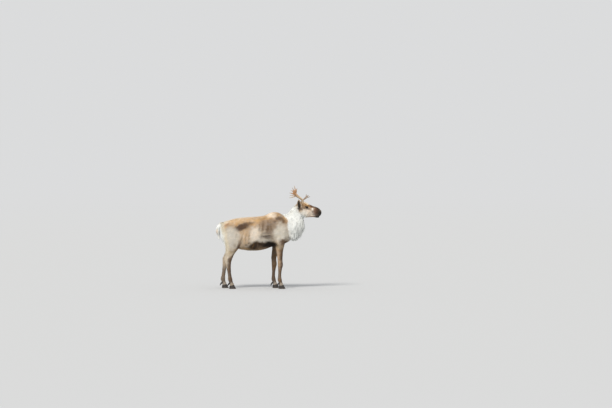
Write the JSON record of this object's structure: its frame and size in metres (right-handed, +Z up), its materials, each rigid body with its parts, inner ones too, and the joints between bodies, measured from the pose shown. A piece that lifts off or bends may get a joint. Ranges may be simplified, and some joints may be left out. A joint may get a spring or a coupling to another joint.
{
  "type": "reindeer",
  "caption": "Still, life-size reindeer cow in a pale late-winter coat, standing at rest with her head level, small hard antlers, a white throat mane and broad cloven hooves.",
  "frame": {"origin": "on the floor below the middle of the animal's bounding box", "axes": "+X towards the nose, +Y to the animal's left, +Z up"},
  "size_m": [1.5494, 0.4348, 1.5029],
  "materials": {
    "winter_coat": "dense matte winter fur, tan to cream with darker brown patches on shoulder, flank and hip",
    "white_coat": "long matte white hair of the neck, throat mane and tail",
    "face_coat": "short fur, ochre to brown with a pale cheek, darkening to a nearly black nose",
    "leg_coat": "short matte grey-brown fur of the lower legs",
    "hoof_horn": "dark horn, satin",
    "antler_bone": "hard antler, orange-brown and grooved with paler worn tips",
    "eye_gloss": "wet dark brown gloss"
  },
  "bodies": {
    "root": {"antler_beam_left": "antler_bone", "antler_beam_right": "antler_bone", "antler_brow_tine_left": "antler_bone", "antler_brow_tine_right": "antler_bone", "antler_crown_left": "antler_bone", "antler_crown_right": "antler_bone", "claw_foreleg_left_inner": "hoof_horn", "claw_foreleg_left_outer": "hoof_horn", "claw_foreleg_right_inner": "hoof_horn", "claw_foreleg_right_outer": "hoof_horn", "claw_hindleg_left_inner": "hoof_horn", "claw_hindleg_left_outer": "hoof_horn", "claw_hindleg_right_inner": "hoof_horn", "claw_hindleg_right_outer": "hoof_horn", "dewclaw_foreleg_left_inner": "hoof_horn", "dewclaw_foreleg_left_outer": "hoof_horn", "dewclaw_foreleg_right_inner": "hoof_horn", "dewclaw_foreleg_right_outer": "hoof_horn", "dewclaw_hindleg_left_inner": "hoof_horn", "dewclaw_hindleg_left_outer": "hoof_horn", "dewclaw_hindleg_right_inner": "hoof_horn", "dewclaw_hindleg_right_outer": "hoof_horn", "ear_left": "face_coat", "ear_right": "face_coat", "eye_left": "eye_gloss", "eye_right": "eye_gloss", "foreleg_lower_left": "leg_coat", "foreleg_lower_right": "leg_coat", "foreleg_upper_left": "winter_coat", "foreleg_upper_right": "winter_coat", "head": "face_coat", "hindleg_lower_left": "leg_coat", "hindleg_lower_right": "leg_coat", "hindleg_upper_left": "winter_coat", "hindleg_upper_right": "winter_coat", "neck": "white_coat", "tail": "white_coat", "torso": "winter_coat"}
  },
  "joints": []
}
